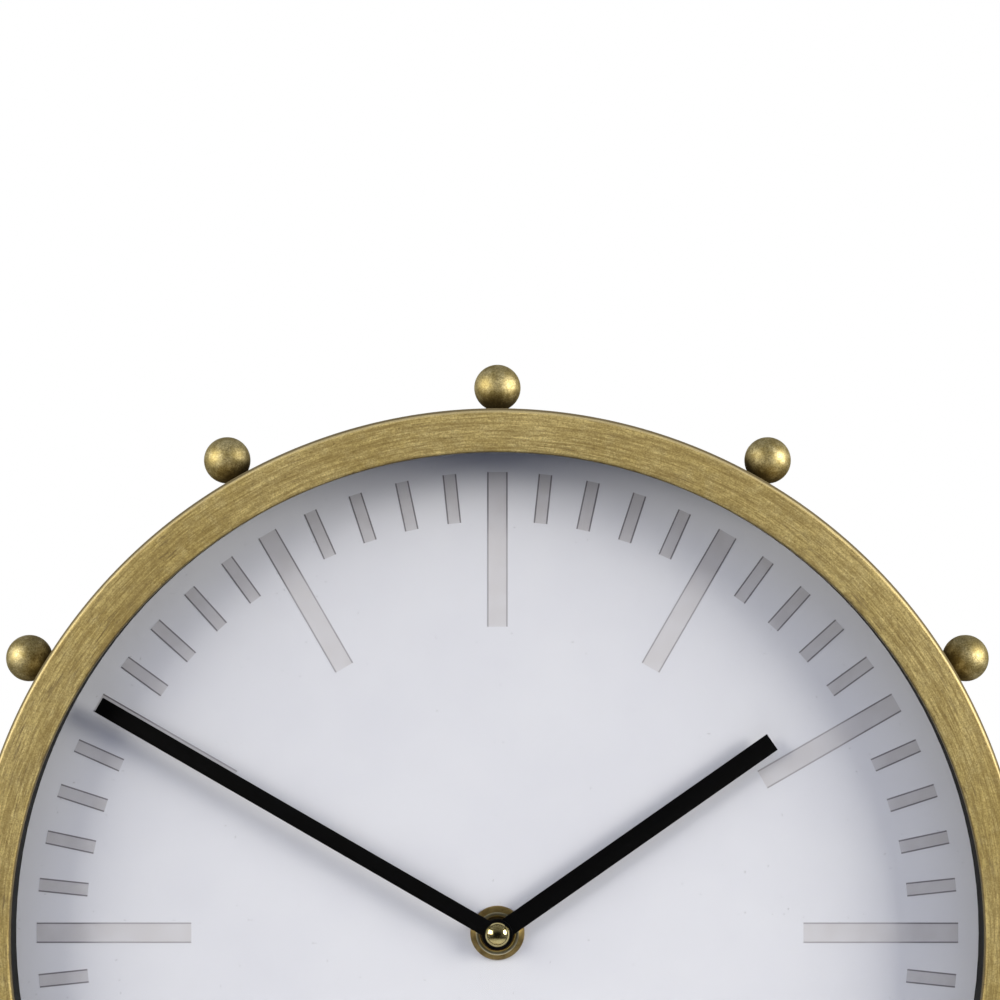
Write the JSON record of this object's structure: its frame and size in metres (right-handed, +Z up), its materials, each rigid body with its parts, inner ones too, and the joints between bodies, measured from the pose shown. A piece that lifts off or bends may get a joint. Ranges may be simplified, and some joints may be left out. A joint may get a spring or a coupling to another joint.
{
  "type": "table clock",
  "caption": "Round pedestal table clock with a flat brass bezel, brass balls at the hours, printed bar dial, straight hands and a battery movement.",
  "frame": {"origin": "on the ground under the middle of the round base, below the hands' axis", "axes": "+Z up, -Y towards the viewer of the dial, +X to the dial's right (three o'clock)"},
  "size_m": [0.3058, 0.15, 0.3314],
  "materials": {
    "antique_brass": "brushed, darkened and lacquered",
    "clear_glass": "clear flat mineral glass",
    "black_card": "matt black",
    "dial_print": "matt white printed paper",
    "hardboard": "plain pressed fibre board",
    "black_paint": "satin black",
    "zinc_steel": "zinc plated",
    "movement_black": "moulded, fine texture",
    "turned_brass": "turned, bright",
    "white_acetal": "moulded",
    "magnet": "sintered, dark",
    "stator_steel": "stamped",
    "copper_wire": "enamelled copper wire, wound",
    "green_board": "solder mask",
    "crystal_can": "drawn can",
    "battery_can": "plain dark wrap over a drawn can",
    "spring_steel": "nickel plated",
    "black_rubber": "matt"
  },
  "bodies": {
    "case": {"bezel_ring": "antique_brass", "case_band": "antique_brass", "stand_post": "antique_brass", "stand_base": "antique_brass", "rim_ball_01": "antique_brass", "rim_ball_02": "antique_brass", "rim_ball_03": "antique_brass", "rim_ball_04": "antique_brass", "rim_ball_05": "antique_brass", "rim_ball_07": "antique_brass", "rim_ball_08": "antique_brass", "rim_ball_09": "antique_brass", "rim_ball_10": "antique_brass", "rim_ball_11": "antique_brass", "rim_ball_12": "antique_brass", "front_glass": "clear_glass", "glass_spacer": "black_card", "dial_sheet": "dial_print", "dial_board": "hardboard", "rear_cover": "black_paint", "dial_brackets": "zinc_steel", "ball_nuts": "zinc_steel", "saddle_plate": "zinc_steel", "saddle_screws": "zinc_steel", "base_bolt": "zinc_steel", "rear_cover_screws": "zinc_steel", "movement_case": "movement_black", "movement_cover": "movement_black", "threaded_bush": "turned_brass", "dial_nut": "turned_brass", "coil_bobbin": "white_acetal", "stator": "stator_steel", "coil_winding": "copper_wire", "circuit_board": "green_board", "quartz_crystal": "crystal_can", "positive_contact": "spring_steel", "negative_contact": "spring_steel", "rubber_washer": "black_rubber", "foot_1": "black_rubber", "foot_2": "black_rubber", "foot_3": "black_rubber", "foot_4": "black_rubber"},
    "minute_hand": {"minute_arbor": "turned_brass", "centre_wheel": "white_acetal", "minute_hand": "black_paint", "hand_cap": "turned_brass"},
    "hour_hand": {"hour_wheel": "white_acetal", "hour_hand": "black_paint"},
    "motion_wheel": {"motion_wheel": "white_acetal"},
    "setting_knob": {"setting_knob": "movement_black"},
    "third_wheel": {"third_wheel": "white_acetal"},
    "rotor": {"rotor": "magnet"},
    "battery": {"battery": "battery_can"}
  },
  "joints": [
    {"name": "minute_turn", "type": "hinge", "parent": "case", "child": "minute_hand", "pos_m": [0, 0, 0.1785], "axis": [0, 1, 0], "continuous": true},
    {"name": "hour_turn", "type": "hinge", "parent": "case", "child": "hour_hand", "pos_m": [0, 0, 0.1785], "axis": [0, 1, 0], "continuous": true},
    {"name": "motion_wheel_turn", "type": "hinge", "parent": "case", "child": "motion_wheel", "pos_m": [0.0075, 0, 0.1785], "axis": [0, 1, 0], "continuous": true},
    {"name": "setting_knob_turn", "type": "hinge", "parent": "case", "child": "setting_knob", "pos_m": [0.01455, 0, 0.18107], "axis": [0, 1, 0], "continuous": true},
    {"name": "third_wheel_turn", "type": "hinge", "parent": "case", "child": "third_wheel", "pos_m": [-0.00148, 0, 0.18687], "axis": [0, 1, 0], "continuous": true},
    {"name": "rotor_turn", "type": "hinge", "parent": "case", "child": "rotor", "pos_m": [-0.00823, 0, 0.18687], "axis": [0, 1, 0], "continuous": true},
    {"name": "battery_slide", "type": "slide", "parent": "case", "child": "battery", "axis": [0, 1, 0], "range_m": [0, 0.04]}
  ],
  "couplings": [
    {"joint": "hour_turn", "follows": "minute_turn", "ratio": 0.083333},
    {"joint": "motion_wheel_turn", "follows": "minute_turn", "ratio": -0.33333},
    {"joint": "setting_knob_turn", "follows": "minute_turn", "ratio": 1},
    {"joint": "third_wheel_turn", "follows": "minute_turn", "ratio": -7.5},
    {"joint": "rotor_turn", "follows": "minute_turn", "ratio": 60}
  ]
}
